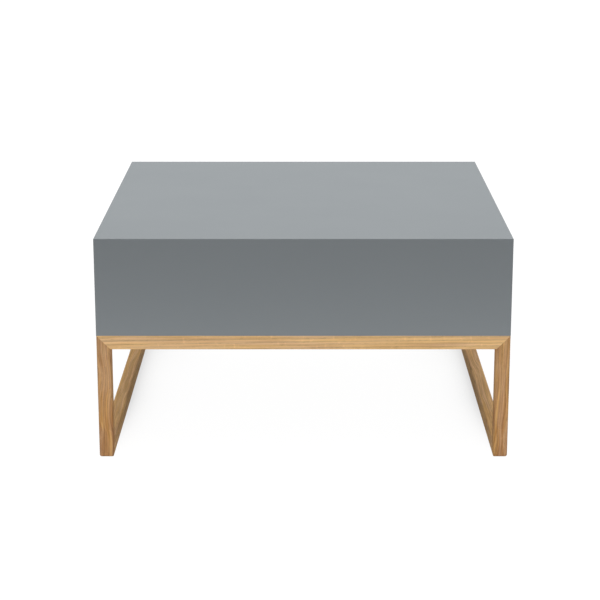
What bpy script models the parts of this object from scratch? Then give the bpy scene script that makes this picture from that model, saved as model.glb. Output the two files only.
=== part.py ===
"""A square coffee table: a grey lacquered case, closed all round, on a mitred oak sled base.

Metres, with +Z up, +X to the right and the front at -Y. The origin is on the floor under the
middle of the table. The outer faces of the base are flush with those of the case.
"""

from collections import namedtuple
from functools import partial
from math import cos, pi, radians, sin, sqrt

import bmesh
import bpy
from mathutils import Matrix, Vector

# Whole table
table_width = 0.800
table_depth = 0.800
table_height = 0.440
case_height = 0.192

# Fits and saw cuts
fit_gap = 0.0003
cut_overrun = 0.001
merge_distance = 0.00001
smooth_angle = radians(30)

# Boards of the case
board_thickness = 0.018
board_arris = 0.001
board_arris_steps = 3
bottom_rebate = 0.008
rib_thickness = 0.015
rib_housing_depth = 0.004
corner_block_width = 0.030

# Splines in the mitres of the case, each square to its mitre
spline_width = 0.014
spline_thickness = 0.004
spline_stop = 0.040
spline_mitre_share = 0.55

# Oak bars of the base, all of one square section
bar_section = 0.028
bar_arris = 0.001
bar_arris_steps = 2

# Dowels between a leg and each of its two rails, placed by shares of the bar
dowel_radius = 0.003
dowel_chamfer = 0.0006
dowel_sides = 12
dowel_mitre_share = 0.68
dowel_side_share = 0.25
dowel_wood_between = 0.0005

# Loose tenons in the feet
tenon_width = 0.014
tenon_thickness = 0.006
tenon_reach = 0.011
tenon_share = 0.57
tenon_round_steps = 4

# Corner braces and the tongues that key them to the rails
brace_leg = 0.110
brace_tip = 0.012
brace_thickness = 0.018
brace_tongue_depth = 0.006
brace_tongue_thickness = 0.006
brace_tongue_start = 0.012

# Flanged bolts that hold the case on the braces, and their inserts
bolt_share = 0.36
bolt_radius = 0.004
bolt_engagement = 0.010
bolt_tip_chamfer = 0.0008
bolt_flange_radius = 0.00875
bolt_flange_thickness = 0.0011
bolt_head_radius = 0.0070
bolt_head_height = 0.0044
bolt_crown_radius_share = 0.6
bolt_crown_height_share = 0.6
bolt_sides = 20
hex_key_radius = 0.0029
hex_key_depth = 0.0026
hex_sides = 6
insert_radius = 0.0060
insert_length = 0.0130

# Glides under the runners
glide_proud = 0.0010
glide_recess = 0.0015
glide_radius = 0.0090
glide_edge = 0.0006
glide_stem_radius = 0.0030
glide_stem_length = 0.0120
glide_inset = 0.045
glide_sides = 24

# Heights that the pieces share
base_top = table_height - case_height
case_bottom = base_top + fit_gap
case_floor = case_bottom + board_thickness
case_ceiling = table_height - board_thickness
case_middle = (case_floor + case_ceiling) / 2
brace_middle = base_top - brace_thickness / 2
brace_bottom = base_top - brace_thickness
foot_bottom = glide_proud

X = Vector((1, 0, 0))
Y = Vector((0, 1, 0))
Z = Vector((0, 0, 1))
HALF_WIDTH = X * table_width / 2
HALF_DEPTH = Y * table_depth / 2

# A side of the table: the way out of it, the way along it, and its reach and half length that way
Side = namedtuple("Side", "name outward along reach half_length")
SIDES = (
    Side("front", -Y, X, table_depth / 2, table_width / 2),
    Side("back", Y, X, table_depth / 2, table_width / 2),
    Side("left", -X, Y, table_width / 2, table_depth / 2),
    Side("right", X, Y, table_width / 2, table_depth / 2),
)

# A corner of the table: its two sides, its outer edge at the floor and the two ways inward from it
Corner = namedtuple("Corner", "name end side point across inward")
CORNERS = (
    Corner("front_left", "front", "left", -HALF_WIDTH - HALF_DEPTH, X, Y),
    Corner("front_right", "front", "right", HALF_WIDTH - HALF_DEPTH, -X, Y),
    Corner("back_left", "back", "left", HALF_DEPTH - HALF_WIDTH, X, -Y),
    Corner("back_right", "back", "right", HALF_WIDTH + HALF_DEPTH, -X, -Y),
)


# Finishes

def material(name, colour, roughness, metallic=0.0):
    """A plain surface of one linear colour, made once and used by every piece that has it."""
    found = bpy.data.materials.get(name)
    if found:
        return found
    made = bpy.data.materials.new(name)
    made.use_nodes = True
    surface = made.node_tree.nodes["Principled BSDF"]
    surface.inputs["Base Color"].default_value = (*colour, 1.0)
    surface.inputs["Roughness"].default_value = roughness
    surface.inputs["Metallic"].default_value = metallic
    return made


def grey_lacquer():
    return material("grey_lacquer", (0.262, 0.288, 0.305), 0.42)


def bare_fibreboard():
    return material("bare_fibreboard", (0.430, 0.290, 0.170), 0.85)


def birch_plywood():
    return material("birch_plywood", (0.700, 0.540, 0.340), 0.75)


def softwood():
    return material("softwood", (0.680, 0.500, 0.290), 0.75)


def beech():
    return material("beech", (0.620, 0.410, 0.230), 0.70)


def oak():
    return material("oak", (0.560, 0.350, 0.170), 0.50)


def zinc_plated_steel():
    return material("zinc_plated_steel", (0.600, 0.610, 0.620), 0.35, 1.0)


def brass():
    return material("brass", (0.760, 0.560, 0.250), 0.30, 1.0)


def white_nylon():
    return material("white_nylon", (0.780, 0.770, 0.740), 0.45)


# Solids

def box_between(first, second):
    """A box that fills the space between two opposite corners, given in any order."""
    low = Vector(map(min, first, second))
    high = Vector(map(max, first, second))
    solid = bmesh.new()
    bmesh.ops.create_cube(solid, size=1)
    bmesh.ops.scale(solid, vec=high - low, verts=solid.verts)
    bmesh.ops.translate(solid, vec=(low + high) / 2, verts=solid.verts)
    return solid


def rod(radius, length, sides, chamfer=0.0):
    """A rod along Z, centred, with its two rims chamfered."""
    solid = bmesh.new()
    bmesh.ops.create_cone(
        solid, cap_ends=True, segments=sides, radius1=radius, radius2=radius, depth=length
    )
    if chamfer:
        rims = [edge for edge in solid.edges if edge.verts[0].co.z * edge.verts[1].co.z > 0]
        bmesh.ops.bevel(solid, geom=rims, offset=chamfer, segments=1, affect="EDGES")
    return solid


def turned(profile, sides, closed=False):
    """A solid of revolution about Z, from points (radius, height).

    The profile starts and ends on the axis, unless it is closed, as the section of a ring is.
    """
    solid = bmesh.new()
    points = [solid.verts.new((radius, 0, height)) for radius, height in profile]
    edges = [solid.edges.new(pair) for pair in zip(points, points[1:])]
    if closed:
        edges.append(solid.edges.new((points[-1], points[0])))
    bmesh.ops.spin(
        solid, geom=points + edges, cent=(0, 0, 0), axis=(0, 0, 1), angle=2 * pi, steps=sides,
        use_merge=True
    )
    bmesh.ops.remove_doubles(solid, verts=solid.verts, dist=merge_distance)
    return solid


def extruded(outline, thickness):
    """A flat outline in X and Y, given a thickness along Z and centred on it."""
    curve = bpy.data.curves.new("outline", "CURVE")
    curve.dimensions = "2D"
    curve.fill_mode = "BOTH"
    curve.extrude = thickness / 2
    spline = curve.splines.new("POLY")
    spline.points.add(len(outline) - 1)
    for point, (across, along) in zip(spline.points, outline):
        point.co = (across, along, 0, 1)
    spline.use_cyclic_u = True
    guide = bpy.data.objects.new("outline", curve)
    bpy.context.scene.collection.objects.link(guide)
    depsgraph = bpy.context.evaluated_depsgraph_get()
    filled = bpy.data.meshes.new_from_object(guide.evaluated_get(depsgraph))
    solid = bmesh.new()
    solid.from_mesh(filled)
    bmesh.ops.remove_doubles(solid, verts=solid.verts, dist=merge_distance)
    bpy.data.objects.remove(guide)
    bpy.data.curves.remove(curve)
    bpy.data.meshes.remove(filled)
    return solid


def saw(solid, point, direction):
    """Saw a solid through a point, keep the side that the direction points to and close the cut."""
    everything = solid.verts[:] + solid.edges[:] + solid.faces[:]
    cut = bmesh.ops.bisect_plane(
        solid, geom=everything, dist=merge_distance, plane_co=point, plane_no=direction, clear_inner=True
    )
    rim = [item for item in cut["geom_cut"] if isinstance(item, bmesh.types.BMEdge)]
    bmesh.ops.contextual_create(solid, geom=rim)


def mitre(solid, corner, own_way, other_way):
    """Saw a piece along its mitre with a neighbour, half a glue line short of the mitre plane.

    From the outer corner the piece runs one way and its neighbour the other way.
    """
    normal = (own_way - other_way).normalized()
    saw(solid, corner + normal * fit_gap / 2, normal)


def ease(solid, edges, radius, steps):
    """Round the arrises of a piece, as sanding does."""
    bmesh.ops.bevel(
        solid, geom=edges, offset=radius, offset_type="OFFSET", segments=steps, profile=0.5, affect="EDGES"
    )


# Objects

def place(point, across, axis):
    """The place of a solid whose own Z follows an axis and whose own X follows a way across it."""
    turn = Matrix((across, axis.cross(across), axis)).transposed()
    return Matrix.Translation(point) @ turn.to_4x4()


def add_object(name, solid, where, collection):
    """An object from a solid that was worked out in its own frame."""
    bmesh.ops.recalc_face_normals(solid, faces=solid.faces)
    mesh = bpy.data.meshes.new(name)
    solid.to_mesh(mesh)
    solid.free()
    item = bpy.data.objects.new(name, mesh)
    item.matrix_basis = where
    bpy.data.collections[collection].objects.link(item)
    return item


def add_part(name, solid, where, finish, group):
    """A sub-part of the table with its finish, carried by the empty of the case or of the base."""
    part = add_object(name, solid, Matrix.Translation(-group.location) @ where, "coffee_table")
    part.parent = group
    part.data.materials.append(finish)
    part.data.shade_smooth()
    part.data.set_sharp_from_angle(angle=smooth_angle)
    return part


def add_built_part(name, solid, origin, finish, group):
    """A sub-part whose solid was worked out in the table's frame, with its origin at a point on it."""
    bmesh.ops.translate(solid, vec=-origin, verts=solid.verts)
    return add_part(name, solid, Matrix.Translation(origin), finish, group)


def add_tool(name, solid, where=Matrix()):
    """A solid that only shapes others: it is drawn as wire and isn't rendered."""
    tool = add_object(name, solid, where, "cutters")
    tool.display_type = "WIRE"
    tool.hide_render = True
    return tool


def shape_with(parts, tool, operation="DIFFERENCE"):
    """Cut each of the parts by a tool, or join the tool to it."""
    for part in parts:
        boolean = part.modifiers.new(tool.name, "BOOLEAN")
        boolean.operation = operation
        boolean.solver = "EXACT"
        boolean.object = tool


def fit_between(name, shape, where, parts, finish, group):
    """Put a joining piece at its place and cut its seat, larger by the fit gap, in what it joins."""
    shape_with(parts, add_tool(name + "_seat", shape(fit_gap), where))
    return add_part(name, shape(0), where, finish, group)


def add_empty(name, point):
    group = bpy.data.objects.new(name, None)
    group.location = point
    bpy.data.collections["coffee_table"].objects.link(group)
    return group


# Case

def case_block():
    """The case as one block, with its top and corner edges eased and its bottom edges square."""
    half = HALF_WIDTH + HALF_DEPTH
    block = box_between(Z * case_bottom - half, Z * table_height + half)
    upper = [edge for edge in block.edges if max(vert.co.z for vert in edge.verts) > case_middle]
    ease(block, upper, board_arris, board_arris_steps)
    return block


def top_panel(case):
    """The top board: the block down to the inside of the top, mitred along all four edges."""
    board = case_block()
    saw(board, Z * case_ceiling, Z)
    for side in SIDES:
        mitre(board, side.outward * side.reach + Z * table_height, -side.outward, -Z)
    return add_built_part("top_panel", board, Z * table_height, grey_lacquer(), case)


def side_panel(side, case):
    """An upright board, mitred to the top and at both ends, square at its bottom edge."""
    board = case_block()
    saw(board, side.outward * (side.reach - board_thickness), side.outward)
    mitre(board, side.outward * side.reach + Z * table_height, -Z, -side.outward)
    for way in (side.along, -side.along):
        mitre(board, side.outward * side.reach + way * side.half_length, -way, -side.outward)
    origin = side.outward * side.reach + Z * case_bottom
    return add_built_part(side.name + "_panel", board, origin, grey_lacquer(), case)


def bottom_solid(play, below=0.0):
    """The bottom board, let into a rebate round the four upright ones."""
    inset = board_thickness - bottom_rebate - play
    half = HALF_WIDTH + HALF_DEPTH - (X + Y) * inset
    return box_between(Z * (case_bottom - below) - half, Z * (case_floor + play) + half)


def bottom_panel(case, uprights):
    shape_with(uprights, add_tool("bottom_rebate", bottom_solid(fit_gap, cut_overrun)))
    return add_built_part("bottom_panel", bottom_solid(0), Z * case_bottom, grey_lacquer(), case)


def rib_solid(side, play):
    """A rib along the way of a side, from housing to housing, larger all round by the play."""
    half_length = side.half_length - board_thickness + rib_housing_depth - fit_gap + play
    half = side.along * half_length + side.outward * (rib_thickness / 2 + play)
    rise = Z * ((case_ceiling - case_floor) / 2 + rib_housing_depth - fit_gap + play)
    return box_between(Z * case_middle - half - rise, Z * case_middle + half + rise)


def lap_solid(end):
    """The notch where the two ribs cross, from the middle to past one end of their height."""
    half = (X + Y) * (rib_thickness / 2 + fit_gap)
    start = Z * (case_middle - end * fit_gap / 2)
    past = Z * end * ((case_ceiling - case_floor) / 2 + rib_housing_depth + cut_overrun)
    return box_between(start - half, Z * case_middle + past + half)


def ribs(case, panels, top, bottom):
    """Two ribs on edge, half lapped where they cross, housed in all six boards."""
    for name, side, end, ends in (
        ("width_rib", SIDES[0], 1, ("left", "right")),
        ("depth_rib", SIDES[2], -1, ("front", "back")),
    ):
        rib = add_built_part(name, rib_solid(side, 0), Z * case_middle, bare_fibreboard(), case)
        shape_with([rib], add_tool(name + "_lap", lap_solid(end)))
        housed = [top, bottom] + [panels[end_name] for end_name in ends]
        shape_with(housed, add_tool(name + "_housing", rib_solid(side, fit_gap)))


def corner_block(corner, case):
    """A glued block up the inside of a corner of the case."""
    inward = corner.across + corner.inward
    inner = corner.point + inward * (board_thickness + fit_gap)
    foot = inner + Z * (case_floor + fit_gap)
    head = inner + inward * corner_block_width + Z * (case_ceiling - fit_gap)
    add_built_part("corner_block_" + corner.name, box_between(foot, head), foot, softwood(), case)


def mitre_spline(length, play):
    """A flat strip along Z, its width along X, larger all round by the play."""
    half = Vector((spline_width, spline_thickness, length)) / 2 + (X + Y + Z) * play
    return box_between(-half, half)


def spline_place(edge_point, along, first_way, second_way):
    """The place of a spline that is square to a mitre, at its depth under the outer edge."""
    inward = (first_way + second_way).normalized()
    depth = board_thickness * sqrt(2) * spline_mitre_share
    return place(edge_point + inward * depth, (first_way - second_way).normalized(), along)


def top_spline(side, case, pieces):
    where = spline_place(side.outward * side.reach + Z * table_height, side.along, -side.outward, -Z)
    shape = partial(mitre_spline, 2 * (side.half_length - spline_stop))
    fit_between("top_spline_" + side.name, shape, where, pieces, birch_plywood(), case)


def corner_spline(corner, case, pieces):
    foot = case_floor + fit_gap
    head = table_height - spline_stop
    edge_point = corner.point + Z * (foot + head) / 2
    where = spline_place(edge_point, Z, corner.across, corner.inward)
    shape = partial(mitre_spline, head - foot)
    fit_between("corner_spline_" + corner.name, shape, where, pieces, birch_plywood(), case)


def build_case(case):
    """The boards of the case with what joins and stiffens them. Returns the bottom panel."""
    top = top_panel(case)
    panels = {side.name: side_panel(side, case) for side in SIDES}
    bottom = bottom_panel(case, panels.values())
    ribs(case, panels, top, bottom)
    for side in SIDES:
        top_spline(side, case, (top, panels[side.name]))
    for corner in CORNERS:
        corner_spline(corner, case, (panels[corner.end], panels[corner.side]))
        corner_block(corner, case)
    return bottom


# Base

def bar(first, second, square=None):
    """A square bar with its long edges eased, but for those that pass the test for a square edge."""
    solid = box_between(first, second)
    longest = max(edge.calc_length() for edge in solid.edges)
    long_edges = [edge for edge in solid.edges if edge.calc_length() > longest - bar_section / 2]
    ease(solid, [edge for edge in long_edges if not (square and square(edge))], bar_arris, bar_arris_steps)
    return solid


def under_case(edge):
    """Whether an edge lies in the top of the base, where the case covers it."""
    return min(vert.co.z for vert in edge.verts) > base_top - bar_arris


def leg(corner, base):
    """A leg with a three way mitre at its top and a mitred foot."""
    foot = corner.point + Z * foot_bottom
    head = corner.point + Z * base_top
    solid = bar(foot, head + (corner.across + corner.inward) * bar_section)
    mitre(solid, head, -Z, corner.across)
    mitre(solid, head, -Z, corner.inward)
    mitre(solid, foot, Z, corner.inward)
    return add_built_part("leg_" + corner.name, solid, foot, oak(), base)


def rail(side, base):
    """A top rail with a three way mitre at each end."""
    middle = side.outward * side.reach + Z * base_top
    half = side.along * side.half_length
    solid = bar(middle - half, middle + half - (side.outward + Z) * bar_section, under_case)
    for way in (side.along, -side.along):
        corner = middle + way * side.half_length
        mitre(solid, corner, -way, -Z)
        mitre(solid, corner, -way, -side.outward)
    return add_built_part(side.name + "_rail", solid, middle, oak(), base)


def runner(side, base):
    """A bar on the floor from foot to foot of one side loop, mitred to both legs."""
    middle = side.outward * side.reach + Z * foot_bottom
    half = side.along * side.half_length
    solid = bar(middle - half, middle + half + (Z - side.outward) * bar_section)
    for way in (side.along, -side.along):
        mitre(solid, middle + way * side.half_length, -way, Z)
    return add_built_part(side.name + "_runner", solid, middle, oak(), base)


def dowel_length():
    """A dowel goes as far into each bar as the next dowel of the corner leaves room for."""
    to_next = (dowel_mitre_share - dowel_side_share) * bar_section * sqrt(2)
    return 2 * (to_next - 2 * dowel_radius - 2 * fit_gap - dowel_wood_between)


def dowel(play):
    return rod(dowel_radius + play, dowel_length() + 2 * play, dowel_sides, dowel_chamfer)


def leg_dowel_place(corner, rail_way, other_way):
    """Square to the mitre of a leg and the rail that runs one way, clear of the rail the other way."""
    head = corner.point + Z * base_top
    point = head + (rail_way - Z) * bar_section * dowel_mitre_share
    point += other_way * bar_section * dowel_side_share
    return place(point, other_way, (rail_way + Z).normalized())


def foot_tenon(play):
    """A flat tenon along Z with round edges, larger all round by the play."""
    flat = (tenon_width - tenon_thickness) / 2
    radius = tenon_thickness / 2 + play
    turns = [pi * (step / tenon_round_steps - 1 / 2) for step in range(tenon_round_steps + 1)]
    arc = [(flat + radius * cos(turn), radius * sin(turn)) for turn in turns]
    outline = arc + [(-across, -along) for across, along in arc]
    return extruded(outline, 2 * (tenon_reach + play))


def foot_tenon_place(corner):
    foot = corner.point + Z * foot_bottom
    point = foot + corner.across * bar_section / 2 + (corner.inward + Z) * bar_section * tenon_share
    return place(point, corner.across, (corner.inward - Z).normalized())


def glide(play):
    """A turned disc with a stem that is pressed up into the runner.

    It stands proud of the runner, and its seat is larger all round by the play.
    """
    rim = glide_radius + play
    stem = glide_stem_radius + play
    disc_top = glide_proud + glide_recess + play
    stem_top = disc_top + glide_stem_length
    profile = ((0, 0), (rim - glide_edge, 0), (rim, glide_edge), (rim, disc_top), (stem, disc_top),
               (stem, stem_top), (0, stem_top))
    return turned(profile, glide_sides)


def glide_place(corner):
    return place(corner.point + corner.across * bar_section / 2 + corner.inward * glide_inset, X, Z)


def brace_place(corner):
    """The inner corner of two rails, at the middle of the brace's thickness."""
    inner = corner.point + (corner.across + corner.inward) * (bar_section + fit_gap) + Z * brace_middle
    return place(inner, corner.across, corner.across.cross(corner.inward))


def brace_tongue(play):
    """The thin plate whose two straight edges are the tongues, larger all round by the play."""
    edge = -brace_tongue_depth - play
    start = brace_tongue_start - play
    end = brace_leg + play
    tip = brace_tip / 2
    outline = ((start, edge), (end, edge), (end, tip), (tip, end), (edge, end), (edge, start))
    return extruded(outline, brace_tongue_thickness + 2 * play)


def corner_brace(corner, base, rails):
    """A triangular block with its sharp tips sawn off, keyed to two rails by its tongues."""
    name = "corner_brace_" + corner.name
    where = brace_place(corner)
    outline = ((0, 0), (brace_leg, 0), (brace_leg, brace_tip), (brace_tip, brace_leg), (0, brace_leg))
    brace = add_part(name, extruded(outline, brace_thickness), where, softwood(), base)
    shape_with([brace], add_tool(name + "_tongue", brace_tongue(0), where), "UNION")
    shape_with(rails, add_tool(name + "_groove", brace_tongue(fit_gap), where))
    return brace


def build_base(base):
    """The oak bars with what joins them. Returns the brace of each corner."""
    rails = {side.name: rail(side, base) for side in SIDES}
    runners = {side.name: runner(side, base) for side in SIDES if side.along == Y}
    braces = {}
    for corner in CORNERS:
        upright = leg(corner, base)
        cross_rail, loop_rail, foot_bar = rails[corner.end], rails[corner.side], runners[corner.side]
        joints = (
            ("cross_dowel_", dowel, leg_dowel_place(corner, corner.across, corner.inward), cross_rail),
            ("loop_dowel_", dowel, leg_dowel_place(corner, corner.inward, corner.across), loop_rail),
            ("foot_tenon_", foot_tenon, foot_tenon_place(corner), foot_bar),
        )
        for kind, shape, where, neighbour in joints:
            fit_between(kind + corner.name, shape, where, (upright, neighbour), beech(), base)
        foot_place = glide_place(corner)
        fit_between("floor_glide_" + corner.name, glide, foot_place, [foot_bar], white_nylon(), base)
        braces[corner.name] = corner_brace(corner, base, (cross_rail, loop_rail))
    return braces


# Fixings between the base and the case

def bolt_point(corner):
    """On the line from the corner to the middle of the table, well inside the brace."""
    return corner.point + (corner.across + corner.inward) * (bar_section + brace_leg * bolt_share)


def bolt():
    """A flanged button head bolt, tip up, with the underside of its flange at height zero."""
    shank_top = fit_gap + brace_thickness + fit_gap + bolt_engagement
    crown_radius = bolt_head_radius * bolt_crown_radius_share
    crown_height = bolt_head_height * bolt_crown_height_share
    profile = ((0, -bolt_head_height), (crown_radius, -bolt_head_height), (bolt_head_radius, -crown_height),
               (bolt_head_radius, -bolt_flange_thickness), (bolt_flange_radius, -bolt_flange_thickness),
               (bolt_flange_radius, 0), (bolt_radius, 0), (bolt_radius, shank_top - bolt_tip_chamfer),
               (bolt_radius - bolt_tip_chamfer, shank_top), (0, shank_top))
    return turned(profile, bolt_sides)


def insert():
    """A sleeve from height zero up, round the bolt."""
    bore = bolt_radius + fit_gap
    section = ((bore, 0), (insert_radius, 0), (insert_radius, insert_length), (bore, insert_length))
    return turned(section, bolt_sides, closed=True)


def insert_seat():
    """The blind hole for an insert, from just under height zero."""
    rim = insert_radius + fit_gap
    end = insert_length + fit_gap
    return turned(((0, -cut_overrun), (rim, -cut_overrun), (rim, end), (0, end)), bolt_sides)


def case_bolt(corner, base, case, brace, bottom):
    """A bolt up through a brace, into its insert in the bottom panel."""
    point = bolt_point(corner)
    head_seat = point + Z * (brace_bottom - fit_gap)
    piece = add_part("case_bolt_" + corner.name, bolt(), place(head_seat, X, Z), zinc_plated_steel(), base)
    key = rod(hex_key_radius, 2 * hex_key_depth, hex_sides)
    key_place = place(head_seat - Z * bolt_head_height, X, Z)
    shape_with([piece], add_tool("hex_socket_" + corner.name, key, key_place))
    hole = rod(bolt_radius + fit_gap, brace_thickness + 2 * cut_overrun, bolt_sides)
    shape_with([brace], add_tool("bolt_hole_" + corner.name, hole, place(point + Z * brace_middle, X, Z)))
    insert_place = place(point + Z * case_bottom, X, Z)
    shape_with([bottom], add_tool("insert_seat_" + corner.name, insert_seat(), insert_place))
    add_part("threaded_insert_" + corner.name, insert(), insert_place, brass(), case)


def clear_scene():
    for item in list(bpy.data.objects):
        bpy.data.objects.remove(item)


def add_collections():
    for name in ("coffee_table", "cutters"):
        bpy.context.scene.collection.children.link(bpy.data.collections.new(name))


def main():
    clear_scene()
    add_collections()
    base = add_empty("base", Vector())
    case = add_empty("case", Z * case_bottom)
    bottom = build_case(case)
    braces = build_base(base)
    for corner in CORNERS:
        case_bolt(corner, base, case, braces[corner.name], bottom)


if __name__ == "__main__":
    main()
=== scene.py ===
"""The looks of a square coffee table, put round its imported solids.

Five lacquered boards meet without a seam in the case, and ten oak bars with closed mitres make the
base. Each of them is one section carried along a line between two cuts, worked out as arrays. The
bolts and the glides are turned. The other solids keep their shape and get their timber or board.
Metres, with +Z up, +X to the right and the front at -Y.
"""

from collections import namedtuple
from functools import cache, partial, reduce
from math import pi, radians, sqrt

import bpy
import numpy as np
from bpy.props import FloatProperty, FloatVectorProperty, PointerProperty
from mathutils import Matrix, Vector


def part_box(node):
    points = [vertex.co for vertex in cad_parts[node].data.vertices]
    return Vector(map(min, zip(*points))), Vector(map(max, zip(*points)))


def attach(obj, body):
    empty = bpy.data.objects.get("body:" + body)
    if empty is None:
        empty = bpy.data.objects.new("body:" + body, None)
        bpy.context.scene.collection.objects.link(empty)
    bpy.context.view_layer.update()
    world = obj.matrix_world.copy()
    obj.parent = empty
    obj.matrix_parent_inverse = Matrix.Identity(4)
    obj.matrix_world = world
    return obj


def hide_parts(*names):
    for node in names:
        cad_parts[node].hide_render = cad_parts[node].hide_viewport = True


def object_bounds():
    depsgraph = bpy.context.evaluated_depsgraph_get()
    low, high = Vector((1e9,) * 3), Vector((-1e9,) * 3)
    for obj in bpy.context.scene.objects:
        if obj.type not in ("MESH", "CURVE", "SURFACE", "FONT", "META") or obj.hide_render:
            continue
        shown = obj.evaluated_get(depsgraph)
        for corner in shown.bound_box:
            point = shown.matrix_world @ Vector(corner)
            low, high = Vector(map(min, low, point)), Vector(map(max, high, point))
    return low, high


bl_info = {
    "name": "Coffee Table Looks",
    "version": (1, 0, 0),
    "blender": (4, 5, 0),
    "location": "3D View > Sidebar > Coffee Table",
    "description": "Lacquer, oak, fixings and a studio round the solids of a coffee table",
    "category": "Object",
}

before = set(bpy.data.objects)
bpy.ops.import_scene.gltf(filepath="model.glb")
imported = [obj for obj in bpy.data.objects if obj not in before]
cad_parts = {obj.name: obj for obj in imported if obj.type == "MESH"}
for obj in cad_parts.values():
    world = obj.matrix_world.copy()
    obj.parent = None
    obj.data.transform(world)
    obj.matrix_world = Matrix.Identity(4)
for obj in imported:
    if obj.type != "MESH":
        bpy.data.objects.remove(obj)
cad_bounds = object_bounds()

# Sizes that the solids give
half_width, half_depth, table_height = cad_bounds[1]
case_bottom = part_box("front_panel")[0].z
bottom_panel_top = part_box("bottom_panel")[1].z
bottom_panel_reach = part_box("bottom_panel")[1].x
board_thickness = table_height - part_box("top_panel")[0].z
rail_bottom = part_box("front_rail")[0].z
rail_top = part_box("front_rail")[1].z
foot_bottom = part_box("left_runner")[0].z
bar_side = rail_top - rail_bottom
fit_gap = case_bottom - rail_top

# How finely the new surfaces are worked out
edge_steps = 3
turned_sides = 48
dome_rows = 8
rim_rows = 5
thread_rows_per_turn = 12
weld_distance = 1e-7
sharp_angle = radians(30)

# The rails end just under the case, so near that no light passes between them
seat_gap = 0.00004
seat = case_bottom - seat_gap

ENDLESS = np.inf
X, Y, Z = np.eye(3)
CORNERS = ("front_left", "front_right", "back_left", "back_right")


# Shapes as arrays

# The ways round a turned piece, as angles
around = np.linspace(0, 2 * pi, turned_sides, endpoint=False)


def near_edge(radius):
    """Distances from an edge at which rounding it gives even steps.

    Each is the radius times one less the tangent of an angle, for even angles from 45 degrees to 0.
    """
    return radius * (1 - np.tan(np.linspace(pi / 4, 0, edge_steps + 1)))


def eased_loop(corners, radius):
    """Points once round an outline, with some close to both ends of each side.

    A point is the start of its side plus the side times its distance as a share of the length.
    """
    starts = np.array(corners, float)
    sides = np.roll(starts, -1, axis=0) - starts
    lengths = np.linalg.norm(sides, axis=1, keepdims=True)
    near = np.broadcast_to(near_edge(radius), (len(starts), edge_steps + 1))
    shares = np.hstack((near, lengths - near[:, :0:-1])) / lengths
    return (starts[:, None] + sides[:, None] * shares[..., None]).reshape(-1, 2)


def carried(loop, middle, length, start, end, radius):
    """Rings of points (first, second, station) of a section carried along a line between two cuts.

    At a cut a point stands back by the larger of its first and second distance, each times the
    cut's number for it: one for a mitre that way, and nought where that way has no mitre. More
    rings follow close to each cut, and the middle of the section closes both ends.
    """
    pole = np.broadcast_to(middle, loop.shape)
    near = near_edge(radius)
    heads = [(pole * start).max(1)] + [(loop * start).max(1) + step for step in near]
    tails = [(loop * end).max(1) + step for step in near[::-1]] + [(pole * end).max(1)]
    sections = [pole] + [loop] * (2 * len(near)) + [pole]
    return np.dstack((sections, heads + [length - tail for tail in tails]))


def rounded(points, low, high, radius):
    """Points of a block, moved in so that its edges are rounded.

    The core is the block less the radius all round. A point keeps its step away from the core, up
    to the radius: flat faces stay, edges become quarter rounds and corners part of a ball.
    """
    core = np.clip(points, np.add(low, radius), np.subtract(high, radius))
    step = points - core
    reach = np.linalg.norm(step, axis=-1, keepdims=True)
    return core + step * radius / np.maximum(reach, radius)


def wear_of(square, eased, radius):
    """How far rounding has moved each point, as a share of what it moves an edge, up to one.

    An edge moves in by the radius times the root of two less one.
    """
    moved = np.linalg.norm(eased - square, axis=-1)
    return np.minimum(moved / (radius * (sqrt(2) - 1)), 1)


def turned(outline):
    """Rings of a turned shape: an outline's radius times the cosine and sine of each way round.

    The outline is (radius, height), with each radius a number or one for each way round.
    """
    radii = np.array([np.broadcast_to(radius, turned_sides) for radius, _ in outline])
    heights = np.broadcast_to(np.array([[height] for _, height in outline]), radii.shape)
    return np.dstack((radii * np.cos(around), radii * np.sin(around), heights))


def joined(rings):
    """Which points of the rings to keep, and the quads and the triangles between them.

    Neighbours on two rings span a quad. Points at one place become one, so a ring shrunk to its
    middle closes the surface, and a quad that loses a corner so becomes a triangle. Six times the
    volume is the sum of each quad's first corner times the cross products of its second and third
    and of its third and fourth. Where that is less than nought, all faces are turned.
    """
    flat = rings.reshape(-1, 3)
    _, first, merged = np.unique(
        np.round(flat / weld_distance), axis=0, return_index=True, return_inverse=True
    )
    grid = merged.reshape(rings.shape[:2])
    beside = np.roll(grid, -1, axis=1)
    quads = np.stack((grid[:-1], beside[:-1], beside[1:], grid[1:]), axis=-1).reshape(-1, 4)
    a, b, c, d = (flat[first[quads[:, corner]]] for corner in range(4))
    if (a * (np.cross(b, c) + np.cross(c, d))).sum() < 0:
        quads = quads[:, ::-1]
    lost = quads == np.roll(quads, -1, axis=1)
    short = lost.sum(1) == 1
    return first, quads[~lost.any(1)], quads[short][~lost[short]].reshape(-1, 3)


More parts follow.
